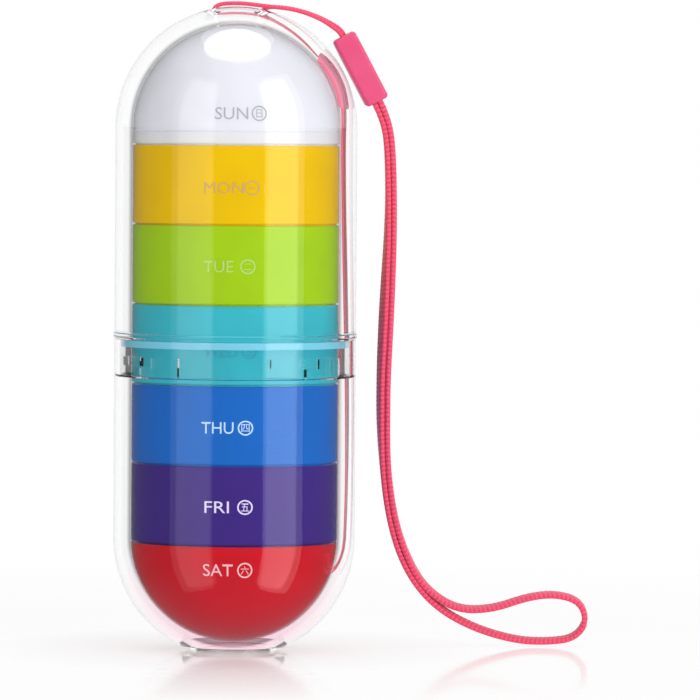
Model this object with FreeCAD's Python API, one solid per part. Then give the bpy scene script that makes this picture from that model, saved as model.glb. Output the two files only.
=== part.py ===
"""Seven-day travel pill case: a clear capsule in two halves round a stack of seven cups, with a wrist strap.

Millimetres, +Z up. The origin is the middle of the foot, on the surface that the case stands on.
The front of the case, where the cups carry their day legends, faces -Y, and the strap hangs on the +X side.
"""
import FreeCAD, Part
import math
import os

from FreeCAD import Vector

# ---- cups ----
cup_radius = 23.85
cup_wall = 1.6
cup_floor = 1.3
cup_height = 18.3
cup_edge = 0.2
joint_gap = 0.4
joint_depth = 0.6
cup_inner_slope = 1.0
plain_cups = ["friday_cup", "thursday_cup", "wednesday_cup", "tuesday_cup", "monday_cup"]
spigot_wall = 1.2
spigot_height = 2.4
spigot_gap = 0.3
bowl_height = 23.4
bowl_flat_radius = 2.5
tray_height = 3.2
collar_wall = 1.2
collar_height = 2.5
collar_gap = 0.3
lid_skirt = 0.7
lid_wall = 1.6

# ---- clear case ----
foot_radius = 10.0
foot_height = 1.05
foot_width = 1.5
case_floor = 1.0
dome_flat_radius = 12.6
seam_height = 63.75
seam_edge = 0.2
cup_gap = 0.35
neck_wall = 1.2
neck_height = 6.7
skirt_wall = 1.3
head_room = 0.55
bead_rise = 0.4
bead_height = 1.2
bead_depth = 0.25

# ---- bayonet between the halves ----
lug_count = 4
lug_depth = 1.0
lug_root = 0.3
lug_height = 2.0
lug_above_seam = 2.5
lug_angle = 28.0
lug_width = 18.0
lug_gap = 0.3
catch_angle = 54.0
catch_width = 16.0
ledge_height = 1.8
ledge_side_gap = 1.0

# ---- seal ring ----
seal_height = 1.6
seal_inner_gap = 0.3
seal_outer_gap = 0.3

# ---- strap ----
hole_diameter = 3.0
hole_spacing = 11.0
bridge_thickness = 2.0
groove_width = 2.4
cord_diameter = 1.0
cord_half_pitch = 0.5
cord_half_spread = 0.3
cord_end_run = 1.2
ribbon_width = 3.3
ribbon_thickness = 1.2
ribbon_half_pitch = 0.66
ribbon_end_run = 5.0
strap_lean = 6.0
ferrule_top_x = 24.5
ferrule_top_z = 142.35
ferrule_tilt = 27.7
ferrule_turn = 8.0
ferrule_length = 17.2
ferrule_width = 5.6
ferrule_depth = 4.8
ferrule_round = 0.8
ferrule_bevel_length = 4.2
ferrule_bevel_depth = 0.9

# ---- sizes that follow ----
cup_bore = cup_radius - cup_wall
spigot_radius = cup_bore - spigot_gap
mouth_depth = spigot_height + spigot_gap
collar_radius = cup_radius - lid_wall - collar_gap
case_inner = cup_radius + cup_gap
neck_outer = case_inner + neck_wall
lug_radius = neck_outer + lug_depth
skirt_inner = lug_radius + lug_gap
case_radius = skirt_inner + skirt_wall
case_wall = case_radius - case_inner
floor_top = foot_height + case_floor
lower_dome_z = foot_height + math.sqrt(case_radius**2 - dome_flat_radius**2)
bowl_top = floor_top + bowl_height
tray_bottom = bowl_top + len(plain_cups) * cup_height
tray_top = tray_bottom + tray_height
lid_top = tray_top + lid_skirt + cup_radius
case_height = lid_top + head_room + case_wall
upper_dome_z = case_height - case_radius
neck_top = seam_height + neck_height
shoulder_z = neck_top + seal_height
lug_bottom = seam_height + lug_above_seam
ledge_top = lug_bottom - lug_gap

# The strap's points are chosen along its line. A cord point is (x, y, z). A ribbon point is (x, z), because
# the ribbon lies in one plane, which leans back from the ferrule's top to the surface under the case.
cord_points = [
    (22.2, -0.65, 144.3),
    (19.2, -0.7, 146.35),
    (13.4, -0.65, 148.45),
    (6.5, -0.62, 149.1),
    (0.6, -0.6, 149.85),
    (-5.5, -0.35, 149.45),
    (-5.5, -0.2, 145.8),
    (0.0, 0.1, 146.15),
    (5.5, 0.35, 145.8),
    (5.8, 0.62, 148.95),
    (11.5, 0.65, 148.9),
    (17.5, 0.6, 147.35),
    (22.3, 0.55, 145),
]
ribbon_points = [
    (35.1, 114.05),
    (35.3, 99.05),
    (34.4, 79.05),
    (33.6, 59.05),
    (34.2, 42.05),
    (36.3, 27.85),
    (40.4, 17.15),
    (47.0, 9.25),
    (56.0, 4.25),
    (66.0, 1.4),
    (73.5, 1.15),
    (79.6, 2),
    (82.6, 6.05),
    (80.6, 11.65),
    (75.0, 13.55),
    (68.5, 12.65),
    (60.5, 9.65),
    (52.5, 8.95),
    (46.0, 12.25),
    (41.6, 17.95),
    (37.6, 28.25),
    (35.5, 42.15),
    (35.0, 59.05),
    (35.7, 79.05),
    (36.6, 99.05),
    (36.4, 114.15),
]
arc_share = 0.45  # part of the shorter run that the arc at a corner takes


# ---- outlines and turned shapes ----
def round_edge(radius, centre, start_angle, end_angle):
    """Arc about an (r, z) centre, between two angles from the horizontal, in radians."""
    angles = (start_angle, (start_angle + end_angle) / 2, end_angle)
    points = [Vector(0, centre[0] + radius * math.cos(a), centre[1] + radius * math.sin(a)) for a in angles]
    return Part.Arc(*points).toShape()


def angle_at_radius(part_radius, radius):
    """Angle below the horizontal at which a circle about the axis is part_radius wide."""
    return -math.acos(part_radius / radius)


def turned(*parts, angle=360.0):
    """Solid turned about Z from the back round, from a closed outline of (r, z) corners and ready edges."""
    ends = []
    for part in parts:
        if isinstance(part, tuple):
            point = Vector(0, part[0], part[1])
            ends.append((point, point, None))
        else:
            ends.append((part.firstVertex().Point, part.lastVertex().Point, part))
    edges = []
    for (_, here, edge), (there, _, _) in zip(ends, ends[1:] + ends[:1]):
        if edge is not None:
            edges.append(edge)
        if not here.isEqual(there, 1e-7):
            edges.append(Part.makeLine(here, there))
    face = Part.Face(Part.Wire(edges))
    return face.revolve(Vector(0, 0, 0), Vector(0, 0, 1), angle)


def ring_block(inner, outer, bottom, top, middle_angle, width):
    """Block of a ring about Z. Angles are from the front, -Y, towards +X."""
    block = turned((inner, bottom), (outer, bottom), (outer, top), (inner, top), angle=width)
    block.rotate(Vector(0, 0, 0), Vector(0, 0, 1), middle_angle - width / 2 - 180)
    return block


# ---- cups ----
def spigot(bottom):
    """Corners of the ring under a cup's floor, from its inner side outwards, that plugs the cup below."""
    inner = spigot_radius - spigot_wall
    return [
        (inner, bottom),
        (inner, bottom - spigot_height),
        (spigot_radius, bottom - spigot_height),
        (spigot_radius, bottom),
    ]


def outer_band(bottom, top):
    """Corners up the outside of a cup: a shadow gap over the cup below, then a band with broken edges."""
    return [
        (cup_radius - joint_depth, bottom),
        (cup_radius - joint_depth, bottom + joint_gap),
        (cup_radius - cup_edge, bottom + joint_gap),
        (cup_radius, bottom + joint_gap + cup_edge),
        (cup_radius, top - cup_edge),
        (cup_radius - cup_edge, top),
    ]


def plain_cup(bottom):
    top = bottom + cup_height
    floor = bottom + cup_floor
    return turned(
        (0, bottom),
        *spigot(bottom),
        *outer_band(bottom, top),
        (cup_bore, top),
        (cup_bore, floor + cup_inner_slope),
        (cup_bore - cup_inner_slope, floor),
        (0, floor),
    )


def round_cup():
    """The bottom cup, a round bowl that stands on the case's floor and takes a spigot in its mouth."""
    flat_angle = angle_at_radius(bowl_flat_radius, cup_radius)
    centre = (0, floor_top - cup_radius * math.sin(flat_angle))
    mouth_bottom = bowl_top - mouth_depth
    outer_end = math.asin((bowl_top - centre[1]) / cup_radius)
    inner_start = math.asin((mouth_bottom - centre[1]) / cup_bore)
    return turned(
        (0, floor_top),
        round_edge(cup_radius, centre, flat_angle, outer_end),
        (cup_bore, bowl_top),
        (cup_bore, mouth_bottom),
        round_edge(cup_bore, centre, inner_start, -math.pi / 2),
    )


def tray():
    """The floor of the top compartment, with a spigot below and a collar for the lid above."""
    collar_top = tray_top + collar_height
    floor = tray_bottom + cup_floor
    return turned(
        (0, tray_bottom),
        *spigot(tray_bottom),
        *outer_band(tray_bottom, tray_top),
        (collar_radius, tray_top),
        (collar_radius, collar_top),
        (collar_radius - collar_wall, collar_top),
        (collar_radius - collar_wall, floor),
        (0, floor),
    )


def lid():
    centre = (0, tray_top + lid_skirt)
    inner_radius = cup_radius - lid_wall
    return turned(
        (inner_radius, tray_top),
        (cup_radius - cup_edge, tray_top),
        (cup_radius, tray_top + cup_edge),
        round_edge(cup_radius, centre, 0, math.pi / 2),
        round_edge(inner_radius, centre, math.pi / 2, 0),
    )


# ---- clear case ----
def lug_middles(angle):
    return [angle + turn * 360 / lug_count for turn in range(lug_count)]


def lower_shell():
    """Lower half: a round-bottomed tube on a ring foot, with a neck whose lugs hold the upper half down."""
    centre = (0, lower_dome_z)
    outer_start = angle_at_radius(dome_flat_radius, case_radius)
    inner_end = math.asin((floor_top - lower_dome_z) / case_inner)
    body = turned(
        (0, foot_height),
        (foot_radius - foot_width, foot_height),
        (foot_radius - foot_width, 0),
        (foot_radius, 0),
        (foot_radius, foot_height),
        round_edge(case_radius, centre, outer_start, 0),
        (case_radius, seam_height - seam_edge),
        (case_radius - seam_edge, seam_height),
        (neck_outer, seam_height),
        (neck_outer, neck_top),
        (case_inner, neck_top),
        round_edge(case_inner, centre, 0, inner_end),
        (0, floor_top),
    )
    lugs = [
        ring_block(neck_outer - lug_root, lug_radius, lug_bottom, lug_bottom + lug_height, middle, lug_width)
        for middle in lug_middles(lug_angle)
    ]
    return body.fuse(lugs)


def catch(middle):
    """A lug inside the upper half: a ledge that turns in under a lower lug, and a block as a stop."""
    inner = neck_outer + lug_gap
    outer = skirt_inner + lug_root
    ledge_start = middle - (catch_angle - lug_angle) + lug_width / 2 + ledge_side_gap
    ledge_end = middle + catch_width / 2
    ledge = ring_block(
        inner,
        outer,
        ledge_top - ledge_height,
        ledge_top,
        (ledge_start + ledge_end) / 2,
        ledge_end - ledge_start,
    )
    block = ring_block(inner, outer, ledge_top, lug_bottom + lug_height, middle, catch_width)
    return ledge.fuse(block)


def strap_groove():
    """Room under the bridge for the strap's cord: a slice of a drum, from one strap hole to the other."""
    roof = case_radius - bridge_thickness
    drum = Part.makeCylinder(roof, groove_width, Vector(0, -groove_width / 2, upper_dome_z), Vector(0, 1, 0))
    corner = Vector(-hole_spacing / 2, -groove_width / 2, upper_dome_z)
    reach = Part.makeBox(hole_spacing, groove_width, roof, corner)
    return drum.common(reach)


def upper_shell():
    """Upper half: a domed tube with a skirt over the neck, catches, and a groove between two strap holes."""
    bead_bottom = shoulder_z + bead_rise
    bead_top = bead_bottom + bead_height
    bead_radius = case_radius + bead_depth
    body = turned(
        (skirt_inner, seam_height),
        (case_radius - seam_edge, seam_height),
        (case_radius, seam_height + seam_edge),
        (case_radius, bead_bottom),
        (bead_radius, bead_bottom + bead_depth),
        (bead_radius, bead_top - bead_depth),
        (case_radius, bead_top),
        round_edge(case_radius, (0, upper_dome_z), 0, math.pi / 2),
        round_edge(case_inner, (0, upper_dome_z), math.pi / 2, 0),
        (case_inner, shoulder_z),
        (skirt_inner, shoulder_z),
    )
    body = body.fuse([catch(middle) for middle in lug_middles(catch_angle)])
    for side in (-1, 1):
        foot = Vector(side * hole_spacing / 2, 0, upper_dome_z)
        body = body.cut(Part.makeCylinder(hole_diameter / 2, case_radius, foot))
    return body.cut(strap_groove())


def seal_ring():
    return turned(
        (case_inner + seal_inner_gap, neck_top),
        (skirt_inner - seal_outer_gap, neck_top),
        (skirt_inner - seal_outer_gap, shoulder_z),
        (case_inner + seal_inner_gap, shoulder_z),
    )


# ---- strap ----
def strap_axes():
    """Directions of the strap's plane: its up, and out of it to the front."""
    lean = math.radians(strap_lean)
    return Vector(0, -math.sin(lean), math.cos(lean)), Vector(0, -math.cos(lean), -math.sin(lean))


def ferrule_frame():
    """The ferrule's foot, its axis upwards, and the way across it to the right."""
    up, _ = strap_axes()
    tilt = math.radians(ferrule_tilt)
    axis = Vector(-math.sin(tilt), 0, 0) + up * math.cos(tilt)
    across = Vector(math.cos(tilt), 0, 0) + up * math.sin(tilt)
    top = Vector(ferrule_top_x, 0, ferrule_top_z)
    return top - axis * ferrule_length, axis, across


def route_edges(points, square=Vector(0, 0, 0), shift=0.0):
    """Straight runs joined by tangent arcs, moved aside by shift in the plane that square stands on."""
    ways = [(b - a).normalize() for a, b in zip(points, points[1:])]
    here = points[0] + square.cross(ways[0]) * shift
    edges = []
    for before, corner, after, way_in, way_out in zip(points, points[1:], points[2:], ways, ways[1:]):
        half_turn = way_in.getAngle(way_out) / 2
        trim = arc_share * min((corner - before).Length, (after - corner).Length)
        radius = trim / math.tan(half_turn)
        inward = (way_out - way_in).normalize()
        along = (way_in + way_out).normalize()
        start = corner - way_in * trim + square.cross(way_in) * shift
        middle = corner + inward * radius * (1 / math.cos(half_turn) - 1) + square.cross(along) * shift
        end = corner + way_out * trim + square.cross(way_out) * shift
        edges.append(Part.makeLine(here, start))
        edges.append(Part.Arc(start, middle, end).toShape())
        here = end
    edges.append(Part.makeLine(here, points[-1] + square.cross(ways[-1]) * shift))
    return edges


def route_radii(points):
    bends = [edge for edge in route_edges(points) if isinstance(edge.Curve, Part.Circle)]
    return [round(edge.Curve.Radius, 1) for edge in bends]


def cord_route():
    """From the ferrule's top over the bridge between the holes, back under it, and down to the ferrule."""
    _, front = strap_axes()
    _, axis, across = ferrule_frame()
    top = Vector(ferrule_top_x, 0, ferrule_top_z)
    apart = front * cord_half_pitch - across * cord_half_spread
    near = top + apart
    far = top - apart
    between = [Vector(*point) for point in cord_points]
    return [near, near + axis * cord_end_run, *between, far + axis * cord_end_run, far]


def strap_cord():
    route = cord_route()
    start = route[0]
    section = Part.Wire(Part.Circle(start, route[1] - start, cord_diameter / 2).toShape())
    return Part.Wire(route_edges(route)).makePipeShell([section], True, False)


def ribbon_route():
    """From the ferrule's foot down to the surface, round the wrist loop's end, and back beside itself."""
    foot, axis, across = ferrule_frame()
    drop = math.tan(math.radians(strap_lean))
    left = foot - across * ribbon_half_pitch
    right = foot + across * ribbon_half_pitch
    between = [Vector(x, (ferrule_top_z - z) * drop, z) for x, z in ribbon_points]
    return [left, left - axis * ribbon_end_run, *between, right - axis * ribbon_end_run, right]


def strap_ribbon():
    _, front = strap_axes()
    route = ribbon_route()
    left = route_edges(route, front, ribbon_thickness / 2)
    right = route_edges(route, front, -ribbon_thickness / 2)
    ends = [
        Part.makeLine(left[-1].lastVertex().Point, right[-1].lastVertex().Point),
        Part.makeLine(right[0].firstVertex().Point, left[0].firstVertex().Point),
    ]
    outline = Part.Wire(Part.__sortEdges__(left + right + ends))
    outline.translate(front * -ribbon_width / 2)
    return Part.Face(outline).extrude(front * ribbon_width)


def strap_ferrule():
    """A rounded sleeve whose top end is bevelled, front and back, down towards the cord."""
    half_width = ferrule_width / 2
    half_depth = ferrule_depth / 2
    shoulder = ferrule_length - ferrule_bevel_length
    nose = half_depth - ferrule_bevel_depth
    corners = [
        Vector(-half_width, -half_depth, 0),
        Vector(-half_width, half_depth, 0),
        Vector(-half_width, half_depth, shoulder),
        Vector(-half_width, nose, ferrule_length),
        Vector(-half_width, -nose, ferrule_length),
        Vector(-half_width, -half_depth, shoulder),
    ]
    sleeve = Part.Face(Part.makePolygon(corners + corners[:1])).extrude(Vector(ferrule_width, 0, 0))
    sleeve = sleeve.makeFillet(ferrule_round, sleeve.Edges)
    sleeve.rotate(Vector(0, 0, 0), Vector(0, 0, 1), ferrule_turn)
    foot, axis, across = ferrule_frame()
    back = axis.cross(across)
    sleeve.Placement = FreeCAD.Placement(
        FreeCAD.Matrix(
            across.x, back.x, axis.x, foot.x,
            across.y, back.y, axis.y, foot.y,
            across.z, back.z, axis.z, foot.z,
            0, 0, 0, 1,
        )
    ).multiply(sleeve.Placement)
    return sleeve


nodes = {
    "lower_shell": lower_shell(),
    "upper_shell": upper_shell(),
    "seal_ring": seal_ring(),
    "saturday_cup": round_cup(),
    "sunday_tray": tray(),
    "sunday_lid": lid(),
    "strap_cord": strap_cord(),
    "strap_ferrule": strap_ferrule(),
    "strap_ribbon": strap_ribbon(),
}
for place, name in enumerate(plain_cups):
    nodes[name] = plain_cup(bowl_top + place * cup_height)

os.makedirs("parts", exist_ok=True)
for name, shape in nodes.items():
    solids = shape.Solids
    if len(solids) != 1 or not shape.isValid():
        raise ValueError(f"{name} has {len(solids)} solids, valid: {shape.isValid()}")
    solids[0].exportStep(f"parts/{name}.step")
    box = solids[0].BoundBox
    print(
        f"{name}: {solids[0].Volume:.0f} mm3, x {box.XMin:.2f} to {box.XMax:.2f},"
        f" y {box.YMin:.2f} to {box.YMax:.2f}, z {box.ZMin:.2f} to {box.ZMax:.2f}"
    )

cord_section = math.pi * (cord_diameter / 2) ** 2
ribbon_section = ribbon_width * ribbon_thickness
for name, route, section in (
    ("strap_cord", cord_route(), cord_section),
    ("strap_ribbon", ribbon_route(), ribbon_section),
):
    length = Part.Wire(route_edges(route)).Length
    print(f"{name}: length {length:.1f} mm, volume over section {nodes[name].Volume / section:.1f} mm")
    print(f"{name}: radii {route_radii(route)}")
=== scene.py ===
"""Looks, light and camera for the seven-day travel pill case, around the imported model.

Metres throughout. The front faces -Y and the strap hangs on the +X side.
"""
import math

import bmesh
import bpy
from mathutils import Matrix, Vector

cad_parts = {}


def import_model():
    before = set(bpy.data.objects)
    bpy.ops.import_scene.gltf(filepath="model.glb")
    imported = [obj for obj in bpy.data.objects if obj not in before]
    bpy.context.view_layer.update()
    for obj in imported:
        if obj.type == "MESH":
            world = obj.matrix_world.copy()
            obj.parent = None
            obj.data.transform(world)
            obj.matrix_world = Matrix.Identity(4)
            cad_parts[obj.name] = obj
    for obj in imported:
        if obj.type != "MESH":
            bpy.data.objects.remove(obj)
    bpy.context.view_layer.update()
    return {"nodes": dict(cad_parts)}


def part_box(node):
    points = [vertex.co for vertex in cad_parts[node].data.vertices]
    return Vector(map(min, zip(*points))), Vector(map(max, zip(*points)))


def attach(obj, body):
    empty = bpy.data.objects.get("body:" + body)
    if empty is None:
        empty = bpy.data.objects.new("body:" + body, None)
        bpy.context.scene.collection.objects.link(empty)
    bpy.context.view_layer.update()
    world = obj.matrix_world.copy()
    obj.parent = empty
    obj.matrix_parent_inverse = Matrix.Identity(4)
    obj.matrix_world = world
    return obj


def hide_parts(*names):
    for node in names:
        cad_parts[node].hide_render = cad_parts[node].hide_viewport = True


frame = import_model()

# ---- camera ----
camera_lens = 317.3
camera_sensor = 36.0
camera_place = (0.0266, -1.428, 0.12295)
camera_pitch = 87.865
camera_roll = 0.4

# ---- strap: the line that the solids follow, with the free loop set a millimetre lower ----
strap_lean = math.radians(6.0)
ferrule_top = Vector((0.0245, 0.0, 0.14235))
ferrule_tilt = math.radians(27.7)
ferrule_length = 0.0172
cord_diameter = 0.001
cord_half_pitch = 0.0005
cord_half_spread = 0.0003
cord_end_run = 0.0012
cord_sides = 24
ribbon_width = 0.0033
ribbon_thickness = 0.00138
ribbon_half_pitch = 0.00066
ribbon_end_run = 0.005
ribbon_sides = 24
ribbon_squareness = 0.5
cord_points = [
    (0.0222, -0.00065, 0.1443),
    (0.0192, -0.0007, 0.14635),
    (0.0134, -0.00065, 0.14845),
    (0.0065, -0.00062, 0.1491),
    (0.0006, -0.0006, 0.14985),
    (-0.0055, -0.00035, 0.14945),
    (-0.0055, -0.0002, 0.1458),
    (0.0, 0.0001, 0.14615),
    (0.0055, 0.00035, 0.1458),
    (0.0058, 0.00062, 0.14895),
    (0.0115, 0.00065, 0.1489),
    (0.0175, 0.0006, 0.14735),
    (0.0223, 0.00055, 0.145),
]
# Places of the ribbon in the strap's own plane: aside and up.
ribbon_points = [
    (0.0351, 0.11405),
    (0.0353, 0.09905),
    (0.0344, 0.07905),
    (0.0336, 0.05905),
    (0.0342, 0.04205),
    (0.0363, 0.02785),
    (0.0404, 0.01715),
    (0.047, 0.00925),
    (0.056, 0.00425),
    (0.066, 0.0014),
    (0.0735, 0.00115),
    (0.0796, 0.002),
    (0.0826, 0.00605),
    (0.0808, 0.01085),
    (0.075, 0.01245),
    (0.0685, 0.01165),
    (0.0605, 0.0088),
    (0.0525, 0.0085),
    (0.046, 0.01225),
    (0.0416, 0.01795),
    (0.0376, 0.02825),
    (0.0355, 0.04215),
    (0.035, 0.05905),
    (0.0357, 0.07905),
    (0.0366, 0.09905),
    (0.0364, 0.11415),
]

# Turn of the ribbon about its own line: share of the way from the ferrule to the loop's end, degrees.
ribbon_turns = [
    (0.0, 0.0),
    (0.10, 3.0),
    (0.32, 27.0),
    (0.44, 19.0),
    (0.58, -2.0),
    (0.75, -9.0),
    (1.0, -5.0),
]
weave_pitch = 0.00104
weave_depth = 0.00005
weave_edge_depth = 0.00004
weave_slant = 0.35
weave_steps = 5
braid_pitch = 0.0017
braid_depth = 0.00006
braid_strands = 4
braid_steps = 10
line_resolution = 24

# ---- colours of the strap ----
thread_colour = (0.84, 0.08, 0.18)
# Painted shade: the darker colour that the weave's and braid's grooves take.
groove_shade_colour = (0.62, 0.022, 0.065)
sleeve_colour = (0.66, 0.052, 0.16)
sleeve_pale = (0.70, 0.06, 0.175)


# ---- nodes and materials ----
def add_node(tree, kind, values=None, **settings):
    """A node with its input values, by name or by place; a value that is a socket is linked."""
    node = tree.nodes.new(kind)
    for name, value in settings.items():
        setattr(node, name, value)
    for name, value in (values or {}).items():
        if isinstance(value, bpy.types.NodeSocket):
            tree.links.new(value, node.inputs[name])
        else:
            node.inputs[name].default_value = value
    return node


def new_material(name):
    """An empty node material, its tree and its output."""
    material = bpy.data.materials.new(name)
    material.use_nodes = True
    tree = material.node_tree
    tree.nodes.clear()
    return material, tree, tree.nodes.new("ShaderNodeOutputMaterial")


def math_node(tree, operation, *values):
    """Output of a node that works this operation on numbers or sockets."""
    return add_node(tree, "ShaderNodeMath", dict(enumerate(values)), operation=operation).outputs[0]


def noise(tree, scale, detail=2.0, roughness=0.5):
    """Cloudy values from 0 to 1 that stay with the object."""
    place = add_node(tree, "ShaderNodeTexCoord").outputs["Object"]
    values = {"Vector": place, "Scale": scale, "Detail": detail, "Roughness": roughness}
    return add_node(tree, "ShaderNodeTexNoise", values).outputs["Fac"]


def map_range(tree, value, low, high, start=0.0, end=1.0):
    """Goes from low to high while the value goes from start to end, and stays level beyond."""
    values = {"Value": value, "From Min": start, "From Max": end, "To Min": low, "To Max": high}
    return add_node(tree, "ShaderNodeMapRange", values).outputs["Result"]


def mix_colour(tree, factor, first, second):
    """First colour where the factor is 0, second where it is 1."""
    values = {0: factor, 6: (*first, 1.0), 7: (*second, 1.0)}
    return add_node(tree, "ShaderNodeMix", values, data_type="RGBA").outputs[2]


def bump(tree, height, strength, distance):
    """Normals of a surface whose fine height varies like this value."""
    values = {"Height": height, "Strength": strength, "Distance": distance}
    return add_node(tree, "ShaderNodeBump", values).outputs["Normal"]


def moulded_plastic(name, colour, shade=0.93, roughness=0.3, gloss=0.5):
    """Moulded plastic: a faint mottle of its colour, and gloss broken by a fine skin."""
    material, tree, output = new_material(name)
    darker = tuple(channel * shade for channel in colour)
    mottle = noise(tree, scale=90.0, detail=3.0)
    skin = noise(tree, scale=700.0)
    values = {
        "Base Color": mix_colour(tree, map_range(tree, mottle, 0.0, 1.0, 0.35, 0.65), colour, darker),
        "Roughness": map_range(tree, mottle, roughness - 0.04, roughness + 0.05, 0.3, 0.7),
        "Specular IOR Level": gloss,
        "Specular Tint": (*(channel**0.5 for channel in colour), 1.0),
        "Normal": bump(tree, skin, 0.04, 0.00002),
    }
    shader = add_node(tree, "ShaderNodeBsdfPrincipled", values)
    tree.links.new(shader.outputs[0], output.inputs["Surface"])
    return material


def clear_plastic(name, colour, shadow_colour, ior, roughness=0.02, gloss=1.0, clearness=1.0):
    """Clear plastic, which lets light through to the pieces inside it and leaves a faint shade."""
    material, tree, output = new_material(name)
    wave = noise(tree, scale=55.0, detail=1.0)
    values = {
        "Base Color": (*colour, 1.0),
        "Roughness": roughness,
        "IOR": ior,
        "Specular Tint": (gloss, gloss, gloss, 1.0),
        "Transmission Weight": clearness,
        "Normal": bump(tree, wave, 0.03, 0.0002),
    }
    shader = add_node(tree, "ShaderNodeBsdfPrincipled", values)
    through = add_node(tree, "ShaderNodeBsdfTransparent", {"Color": (*shadow_colour, 1.0)})
    path = add_node(tree, "ShaderNodeLightPath").outputs
    unseen = math_node(tree, "MAXIMUM", path["Is Shadow Ray"], path["Is Diffuse Ray"])
    values = {0: unseen, 1: shader.outputs[0], 2: through.outputs[0]}
    mixed = add_node(tree, "ShaderNodeMixShader", values)
    tree.links.new(mixed.outputs[0], output.inputs["Surface"])
    return material


def woven_strap(name, fibre_scale, sheen):
    """Woven or braided cord: grooves darker than the strands by painted shade, fine fibres and a soft
    sheen.
    """
    material, tree, output = new_material(name)
    groove = add_node(tree, "ShaderNodeAttribute", attribute_name="groove").outputs["Fac"]
    fibres = noise(tree, fibre_scale, roughness=0.6)
    # The grooves' darker colour is painted shade, laid over their real dents.
    painted_groove_shade = map_range(tree, groove, 0.0, 0.8)
    values = {
        "Base Color": mix_colour(tree, painted_groove_shade, thread_colour, groove_shade_colour),
        "Roughness": map_range(tree, fibres, 0.5, 0.72, 0.3, 0.7),
        "Sheen Weight": sheen,
        "Sheen Roughness": 0.4,
        "Normal": bump(tree, fibres, 0.35, 0.00005),
    }
    shader = add_node(tree, "ShaderNodeBsdfPrincipled", values)
    tree.links.new(shader.outputs[0], output.inputs["Surface"])
    return material


def soft_rubber(name, colour, pale):
    """Satin rubber: a faint mottle of two colours under a fine grain."""
    material, tree, output = new_material(name)
    mottle = noise(tree, scale=200.0)
    grain = noise(tree, scale=2600.0)
    values = {
        "Base Color": mix_colour(tree, map_range(tree, mottle, 0.0, 1.0, 0.35, 0.65), colour, pale),
        "Roughness": map_range(tree, grain, 0.38, 0.5, 0.3, 0.7),
        "Sheen Weight": 0.15,
        "Sheen Roughness": 0.5,
        "Normal": bump(tree, grain, 0.2, 0.00003),
    }
    shader = add_node(tree, "ShaderNodeBsdfPrincipled", values)
    tree.links.new(shader.outputs[0], output.inputs["Surface"])
    return material


def dress(node, material):
    """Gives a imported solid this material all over."""
    obj = frame["nodes"][node]
    obj.data.materials.clear()
    obj.data.materials.append(material)


# ---- strap ----
def strap_axes():
    """Directions of the strap's plane: its up, and out of it to the front."""
    up = Vector((0, -math.sin(strap_lean), math.cos(strap_lean)))
    return up, Vector((0, -math.cos(strap_lean), -math.sin(strap_lean)))


def ferrule_frame():
    """The ferrule's foot, its axis upwards, and the way across it to the right."""
    up, _ = strap_axes()
    axis = Vector((-math.sin(ferrule_tilt), 0, 0)) + up * math.cos(ferrule_tilt)
    across = Vector((math.cos(ferrule_tilt), 0, 0)) + up * math.sin(ferrule_tilt)
    return ferrule_top - axis * ferrule_length, axis, across


def cord_route():
    """Control points of the cord: from the ferrule's top through both holes and back."""
    _, front = strap_axes()
    _, axis, across = ferrule_frame()
    apart = front * cord_half_pitch - across * cord_half_spread
    near = ferrule_top + apart
    far = ferrule_top - apart
    between = [Vector(point) for point in cord_points]
    return [near, near + axis * cord_end_run, *between, far + axis * cord_end_run, far]


def ribbon_route():
    """Control points of the ribbon: from the ferrule's foot round the loop and back."""
    foot, axis, across = ferrule_frame()
    drop = math.tan(strap_lean)
    left = foot - across * ribbon_half_pitch
    right = foot + across * ribbon_half_pitch
    between = [Vector((x, (ferrule_top.z - z) * drop, z)) for x, z in ribbon_points]
    return [left, left - axis * ribbon_end_run, *between, right - axis * ribbon_end_run, right]


def spline_line(points, step):
    """Even steps along the smooth NURBS line that has these control points."""
    data = bpy.data.curves.new("line", "CURVE")
    data.dimensions = "3D"
    data.resolution_u = line_resolution
    spline = data.splines.new("NURBS")
    spline.points.add(len(points) - 1)
    for place, point in zip(spline.points, points):
        place.co = (*point, 1.0)
    spline.order_u = 3
    spline.use_endpoint_u = True
    holder = bpy.data.objects.new("line", data)
    mesh = bpy.data.meshes.new_from_object(holder)
    line = [vertex.co.copy() for vertex in mesh.vertices]
    bpy.data.objects.remove(holder)
    bpy.data.curves.remove(data)
    bpy.data.meshes.remove(mesh)
    travelled = [0.0]
    for before, after in zip(line, line[1:]):
        travelled.append(travelled[-1] + (after - before).length)
    count = round(travelled[-1] / step)
    even = []
    place = 0
    for number in range(count + 1):
        goal = travelled[-1] * number / count
        while place < len(line) - 2 and travelled[place + 1] < goal:
            place += 1
        run = travelled[place + 1] - travelled[place]
        even.append(line[place].lerp(line[place + 1], (goal - travelled[place]) / run))
    return even


def strand_mesh(name, line, ring):
    """A closed tube along line. ring(share, distance) lists (aside, outward, groove) round the line."""
    _, front = strap_axes()
    vertices = []
    grooves = []
    last = len(line) - 1
    distance = 0.0
    for number, point in enumerate(line):
        if number:
            distance += (point - line[number - 1]).length
        along = (line[min(number + 1, last)] - line[max(number - 1, 0)]).normalized()
        outward = front.cross(along).normalized()
        wide = along.cross(outward)
        for aside, out, groove in ring(number / last, distance):
            vertices.append(point + wide * aside + outward * out)
            grooves.append(groove)
    around = len(vertices) // len(line)
    faces = [tuple(range(around))[::-1], tuple(last * around + spot for spot in range(around))]
    for number in range(last):
        for spot in range(around):
            here = number * around + spot
            beside = number * around + (spot + 1) % around
            faces.append((here, beside, beside + around, here + around))
    mesh = bpy.data.meshes.new(name)
    mesh.from_pydata(vertices, [], faces)
    attribute = mesh.attributes.new("groove", "FLOAT", "POINT")
    attribute.data.foreach_set("value", grooves)
    mesh.shade_smooth()
    obj = bpy.data.objects.new(name, mesh)
    bpy.context.scene.collection.objects.link(obj)
    return obj


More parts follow.
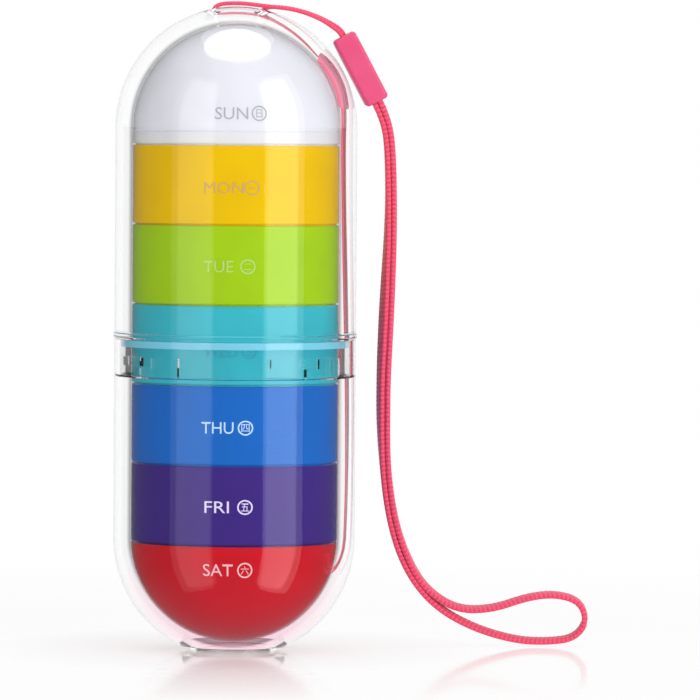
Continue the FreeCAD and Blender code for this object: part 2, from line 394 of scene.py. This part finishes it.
def eased(stops, share):
    """Value between stops of (share, value), turning smoothly at each."""
    for (start, low), (end, high) in zip(stops, stops[1:]):
        if share <= end:
            part = (share - start) / (end - start)
            return low + (high - low) * part * part * (3 - 2 * part)
    return stops[-1][1]


def ribbon_ring(share, distance):
    """Flat woven section with slanting ribs, turned about its line alike on both strands."""
    side = 1 if share <= 0.5 else -1
    angle = math.radians(eased(ribbon_turns, 1 - abs(2 * share - 1))) * side
    ring = []
    for number in range(ribbon_sides):
        turn = 2 * math.pi * number / ribbon_sides
        wide = math.copysign(abs(math.cos(turn)) ** ribbon_squareness, math.cos(turn))
        thick = math.copysign(abs(math.sin(turn)) ** ribbon_squareness, math.sin(turn))
        rib = math.cos(2 * math.pi * (distance / weave_pitch + weave_slant * abs(wide)))
        groove = 0.5 - 0.5 * rib
        aside = wide * (ribbon_width / 2 - weave_edge_depth * groove)
        out = thick * (ribbon_thickness / 2 - weave_depth * groove)
        across = aside * math.cos(angle) - out * math.sin(angle)
        outward = out * math.cos(angle) + aside * math.sin(angle)
        ring.append((across, outward, groove))
    return ring


def cord_ring(share, distance):
    """Round braided section: two sets of strands that cross."""
    ring = []
    for number in range(cord_sides):
        turn = 2 * math.pi * number / cord_sides
        climb = 2 * math.pi * distance / braid_pitch
        crossing = math.cos(braid_strands * turn + climb) * math.cos(braid_strands * turn - climb)
        groove = 0.5 - 0.5 * crossing
        radius = cord_diameter / 2 - braid_depth * groove
        ring.append((math.cos(turn) * radius, math.sin(turn) * radius, groove))
    return ring


def strap():
    """The ferrule's rubber, and a woven ribbon and a braided cord for their plain solids."""
    dress("strap_ferrule", soft_rubber("satin pink rubber", sleeve_colour, sleeve_pale))

    line = spline_line(ribbon_route(), weave_pitch / weave_steps)
    ribbon = strand_mesh("wrist_ribbon", line, ribbon_ring)
    ribbon.data.materials.append(woven_strap("woven pink ribbon", fibre_scale=5200.0, sheen=0.25))
    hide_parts("strap_ribbon")
    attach(ribbon, "cap")

    line = spline_line(cord_route(), braid_pitch / braid_steps)
    cord = strand_mesh("hitch_cord", line, cord_ring)
    cord.data.materials.append(woven_strap("braided pink cord", fibre_scale=7000.0, sheen=0.3))
    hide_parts("strap_cord")
    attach(cord, "cap")


# ---- case and cups ----
def case():
    """Clear plastic for both halves, and blue, cloudier plastic for the ring between them."""
    shell = clear_plastic("clear case", (0.985, 0.99, 0.995), (0.975, 0.98, 0.985), ior=1.49, gloss=0.5)
    dress("lower_shell", shell)
    dress("upper_shell", shell)
    colours = (0.42, 0.84, 0.97), (0.7, 0.9, 0.97)
    dress("seal_ring", clear_plastic("blue seal", *colours, ior=1.42, roughness=0.12, clearness=0.65))


def cups():
    """A moulded colour for each day."""
    colours = {
        "saturday_cup": (0.60, 0.010, 0.020),
        "friday_cup": (0.050, 0.022, 0.205),
        "thursday_cup": (0.012, 0.135, 0.53),
        "wednesday_cup": (0.045, 0.46, 0.54),
        "tuesday_cup": (0.36, 0.60, 0.010),
        "monday_cup": (0.86, 0.52, 0.002),
        "sunday_tray": (0.80, 0.78, 0.80),
        "sunday_lid": (0.82, 0.81, 0.87),
    }
    for node, colour in colours.items():
        dress(node, moulded_plastic(node.replace("_", " "), colour, roughness=0.1, gloss=0.9))


# ---- day legends ----
cup_radius = 0.02385
bowl_flat_radius = 0.0025
letter_height = 0.00265
badge_radius = 0.0017
badge_ring = 0.00032
badge_sides = 48
sign_size = 0.0018
sign_height_shares = {"一": 0.12, "二": 0.8}
sign_width_shares = {"日": 0.75}
letter_resolution = 3
legend_proud = 0.00005
legend_thickness = 0.00009
legend_slice = 0.0005


def cup_outline(node, low, high, height):
    """Radius of a cup at this height, on its side or its round end. low and high are its box."""
    beyond = 0.0
    if node == "saturday_cup":
        beyond = low.z + math.sqrt(cup_radius**2 - bowl_flat_radius**2) - height
    if node == "sunday_lid":
        beyond = height - (high.z - cup_radius)
    return math.sqrt(cup_radius**2 - max(beyond, 0.0) ** 2)


def add_letters(work, words, middle, width, height):
    """Flat letters about a middle, fitted to a width and a height."""
    data = bpy.data.curves.new(words, "FONT")
    data.body = words
    data.resolution_u = letter_resolution
    holder = bpy.data.objects.new(words, data)
    mesh = bpy.data.meshes.new_from_object(holder)
    bpy.data.objects.remove(holder)
    low_x, high_x = (pick(vertex.co.x for vertex in mesh.vertices) for pick in (min, max))
    low_y, high_y = (pick(vertex.co.y for vertex in mesh.vertices) for pick in (min, max))
    for vertex in mesh.vertices:
        vertex.co.x = middle + ((vertex.co.x - low_x) / (high_x - low_x) - 0.5) * width
        vertex.co.y = ((vertex.co.y - low_y) / (high_y - low_y) - 0.5) * height
    work.from_mesh(mesh)
    bpy.data.meshes.remove(mesh)


def add_badge_ring(work, middle):
    """Flat ring round the day's sign."""
    radii = (badge_radius, badge_radius - badge_ring)
    rings = []
    for number in range(badge_sides):
        turn = 2 * math.pi * number / badge_sides
        places = [(middle + radius * math.cos(turn), radius * math.sin(turn), 0) for radius in radii]
        rings.append([work.verts.new(place) for place in places])
    for (outer, inner), (next_outer, next_inner) in zip(rings, rings[1:] + rings[:1]):
        work.faces.new((outer, next_outer, next_inner, inner))


def legend(node, word, left, right, sign, badge, height, ink):
    """A day's short name and its sign in a ring, printed on the front of a cup round this height."""
    work = bmesh.new()
    add_letters(work, word, (left + right) / 2, right - left, letter_height)
    sign_height = sign_size * sign_height_shares.get(sign, 1.0)
    sign_width = sign_size * sign_width_shares.get(sign, 1.0)
    add_letters(work, sign, badge, sign_width, sign_height)
    add_badge_ring(work, badge)
    first = math.floor(left / legend_slice)
    for number in range(first, math.ceil((badge + badge_radius) / legend_slice)):
        everything = work.verts[:] + work.edges[:] + work.faces[:]
        cut = (number * legend_slice, 0, 0)
        bmesh.ops.bisect_plane(work, geom=everything, plane_co=cut, plane_no=(1, 0, 0))
    low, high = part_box(node)
    for vertex in work.verts:
        up = height + vertex.co.y
        out = cup_outline(node, low, high, up) + legend_proud
        turn = vertex.co.x / cup_radius
        vertex.co = (out * math.sin(turn), -out * math.cos(turn), up)
    mesh = bpy.data.meshes.new(node + "_legend")
    work.to_mesh(mesh)
    work.free()
    obj = bpy.data.objects.new(node + "_legend", mesh)
    bpy.context.scene.collection.objects.link(obj)
    thick = obj.modifiers.new("thickness", "SOLIDIFY")
    thick.thickness = legend_thickness
    thick.offset = -1
    mesh.materials.append(ink)
    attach(obj, node.replace("sunday_", "").replace("_cup", ""))


def legends():
    """Each row: cup, word, its left and right ends, sign, the badge's middle and height (mm), ink."""
    rows = [
        ("sunday_lid", "SUN", -4.3, 3.0, "日", 5.45, 124.15, (0.42, 0.42, 0.45)),
        ("monday_cup", "MON", -6.6, 2.1, "一", 3.9, 107.35, (0.62, 0.38, 0.12)),
        ("tuesday_cup", "TUE", -6.6, -0.1, "二", 3.1, 89.42, (0.46, 0.66, 0.16)),
        ("wednesday_cup", "WED", -6.6, 1.0, "三", 3.5, 70.05, (0.05, 0.33, 0.40)),
        ("thursday_cup", "THU", -6.9, 0.2, "四", 2.8, 52.67, (0.52, 0.72, 0.95)),
        ("friday_cup", "FRI", -6.1, -0.7, "五", 2.8, 34.59, (0.78, 0.68, 0.95)),
        ("saturday_cup", "SAT", -6.5, 0.2, "六", 2.9, 20.42, (0.95, 0.50, 0.54)),
    ]
    for node, word, left, right, sign, badge, height, colour in rows:
        ink = moulded_plastic(word + " print", colour, shade=0.97, roughness=0.45)
        legend(node, word, left / 1000, right / 1000, sign, badge / 1000, height / 1000, ink)


# ---- table: distances from the case's foot ----
table_size = 12.0
table_colour = (0.95, 0.93, 0.93)
white_span = (0.12, 0.30)
white_colour = (1.0, 1.0, 1.0)
glow_span = (0.01, 0.06)
glow_shares = (0.25, 0.85)
polish_span = (0.02, 0.125)
polish_shares = (0.85, 0.06)
polish_ior = 1.5
polish_roughness = 0.08

# ---- world: levels, and spans of the ray's direction Y (to the back) and Z (up) ----
# A ray off a cup has crossed more faces of the clear wall than cup_crossings, and sees cup_share.
world_light = 0.38
room_light = 0.15
trapped_light = 0.7
below_light = 0.5
below_colour = (1.0, 0.66, 0.76)
below_span = (-1.0, -0.1)
tint_span = (-0.8, -0.15)
above_span = (0.0, 0.03)
behind_span = (0.6, 0.75)
dip_reach = 0.12
dip_span = (-0.6, -0.1)
cup_share = 0.03
cup_crossings = 2.5

# ---- lamps ----
case_middle = (0, 0, 0.074)


# ---- floor, light and camera ----
def floor():
    """White table with a soft shadow and a faint reflection near the case, fading to plain white.

    Rays that the case's wall has mirrored pass through it to the light below.
    """
    bpy.ops.mesh.primitive_plane_add(size=table_size)
    obj = bpy.context.object
    obj.name = "floor"
    material, tree, output = new_material("white table")
    place = add_node(tree, "ShaderNodeTexCoord").outputs["Object"]
    away = add_node(tree, "ShaderNodeVectorMath", {0: place}, operation="LENGTH").outputs["Value"]
    matt = add_node(tree, "ShaderNodeBsdfDiffuse", {"Color": (*table_colour, 1.0)})
    glow = add_node(tree, "ShaderNodeEmission", {"Color": (*white_colour, 1.0), "Strength": 1.0})
    gloss_values = {"Color": (*white_colour, 1.0), "Roughness": polish_roughness}
    gloss = add_node(tree, "ShaderNodeBsdfGlossy", gloss_values)
    clear = add_node(tree, "ShaderNodeBsdfTransparent")
    slant = add_node(tree, "ShaderNodeFresnel", {"IOR": polish_ior}).outputs[0]
    glowing = map_range(tree, away, *glow_shares, *glow_span)
    polish = math_node(tree, "MULTIPLY", slant, map_range(tree, away, *polish_shares, *polish_span))
    white = map_range(tree, away, 0.0, 1.0, *white_span)
    mirrored = add_node(tree, "ShaderNodeLightPath").outputs["Glossy Depth"]
    surface = matt
    for share, other in (
        (glowing, glow),
        (polish, gloss),
        (white, glow),
        (math_node(tree, "MINIMUM", mirrored, 1.0), clear),
    ):
        values = {0: share, 1: surface.outputs[0], 2: other.outputs[0]}
        surface = add_node(tree, "ShaderNodeMixShader", values)
    tree.links.new(surface.outputs[0], output.inputs["Surface"])
    obj.data.materials.append(material)


def world():
    """White to the eye and through glass, and a plain level on matt surfaces.

    What gloss and the case's wall mirror depends on the ray's direction: white behind, white above the
    table to rays from outside the wall, a faint tinted light from below and a dim room elsewhere.
    """
    scene_world = bpy.data.worlds.new("studio")
    bpy.context.scene.world = scene_world
    scene_world.use_nodes = True
    tree = scene_world.node_tree
    tree.nodes.clear()
    output = tree.nodes.new("ShaderNodeOutputWorld")
    place = add_node(tree, "ShaderNodeTexCoord")
    way = add_node(tree, "ShaderNodeSeparateXYZ", {0: place.outputs["Generated"]}).outputs
    path = add_node(tree, "ShaderNodeLightPath").outputs

    # Light that a mirrored ray meets. The white behind reaches a little further for rays that dip.
    dip = map_range(tree, way["Z"], dip_reach, 0.0, *dip_span)
    behind = map_range(tree, math_node(tree, "ADD", way["Y"], dip), 0.0, 1.0, *behind_span)
    below = map_range(tree, way["Z"], below_light, 0.0, *below_span)
    tint = map_range(tree, way["Z"], 1.0, 0.0, *tint_span)
    colour = mix_colour(tree, tint, white_colour, below_colour)
    outside = map_range(tree, path["Transmission Depth"], 1.0, 0.0)
    above = math_node(tree, "MULTIPLY", map_range(tree, way["Z"], 0.0, 1.0, *above_span), outside)
    met = math_node(tree, "MAXIMUM", above, room_light)
    met = math_node(tree, "MAXIMUM", met, math_node(tree, "MAXIMUM", behind, below))

    # Little of it shows on the cups inside, and rays caught in the wall keep a level of their own.
    inside = math_node(tree, "GREATER_THAN", path["Transmission Depth"], cup_crossings)
    kept = math_node(tree, "MULTIPLY", met, map_range(tree, inside, 1.0, cup_share))
    trapped = map_range(tree, path["Glossy Depth"], 0.0, trapped_light, 1.0, 2.0)
    mirrored = math_node(tree, "MAXIMUM", kept, trapped)

    # Rays that nothing has mirrored see white.
    once = math_node(tree, "MINIMUM", path["Glossy Depth"], 1.0)
    dimmer = math_node(tree, "MULTIPLY", once, math_node(tree, "SUBTRACT", 1.0, mirrored))
    backdrop = math_node(tree, "SUBTRACT", 1.0, dimmer)
    through = math_node(tree, "MAXIMUM", path["Is Glossy Ray"], path["Is Transmission Ray"])
    seen = math_node(tree, "MAXIMUM", path["Is Camera Ray"], through)
    shown = math_node(tree, "MULTIPLY", seen, backdrop)
    ambient = math_node(tree, "MULTIPLY", path["Is Diffuse Ray"], world_light)
    strength = math_node(tree, "MAXIMUM", shown, ambient)
    back = add_node(tree, "ShaderNodeBackground", {"Color": colour, "Strength": strength})
    tree.links.new(back.outputs[0], output.inputs["Surface"])


def softbox(name, azimuth, elevation, distance, size, radiance, mirrored=True, shape="RECTANGLE"):
    """A soft lamp that faces the case's middle. Azimuth 0 is the front, and turns to the right.

    Angles are in degrees. A lamp that isn't mirrored lights the case and shows in no reflection.
    """
    width, height = size
    data = bpy.data.lights.new(name, "AREA")
    data.shape = shape
    data.size = width
    data.size_y = height
    data.energy = radiance * math.pi * width * height
    obj = bpy.data.objects.new(name, data)
    bpy.context.scene.collection.objects.link(obj)
    turn = math.radians(azimuth)
    rise = math.radians(elevation)
    way = Vector((math.sin(turn) * math.cos(rise), -math.cos(turn) * math.cos(rise), math.sin(rise)))
    obj.location = Vector(case_middle) + way * distance
    obj.rotation_euler = way.to_track_quat("Z", "Y").to_euler()
    obj.visible_glossy = mirrored
    obj.visible_transmission = mirrored


def light():
    """Two tall boxes for the bands on the cups, a round one for the dome, and a broad front light."""
    softbox("left box", -41.9, 0.0, 0.9, (0.655, 1.95), radiance=0.88)
    softbox("right box", 49.4, 0.0, 0.9, (0.612, 1.95), radiance=1.85)
    softbox("top box", 180.0, 84.0, 1.0, (0.8, 0.8), radiance=1.8, shape="ELLIPSE")
    softbox("front box", 30.0, 12.0, 1.6, (1.2, 1.2), radiance=2.3, mirrored=False)


def camera():
    """The camera at the front, a little above the case's middle."""
    data = bpy.data.cameras.new("camera")
    data.lens = camera_lens
    data.sensor_width = camera_sensor
    obj = bpy.data.objects.new("camera", data)
    bpy.context.scene.collection.objects.link(obj)
    pitch = Matrix.Rotation(math.radians(camera_pitch), 4, "X")
    roll = Matrix.Rotation(math.radians(camera_roll), 4, "Z")
    obj.matrix_world = Matrix.Translation(camera_place) @ (pitch @ roll)
    bpy.context.scene.camera = obj


camera()
strap()
case()
cups()
legends()
floor()
world()
light()
bpy.context.scene.view_settings.view_transform = "Standard"

bpy.context.view_layer.update()
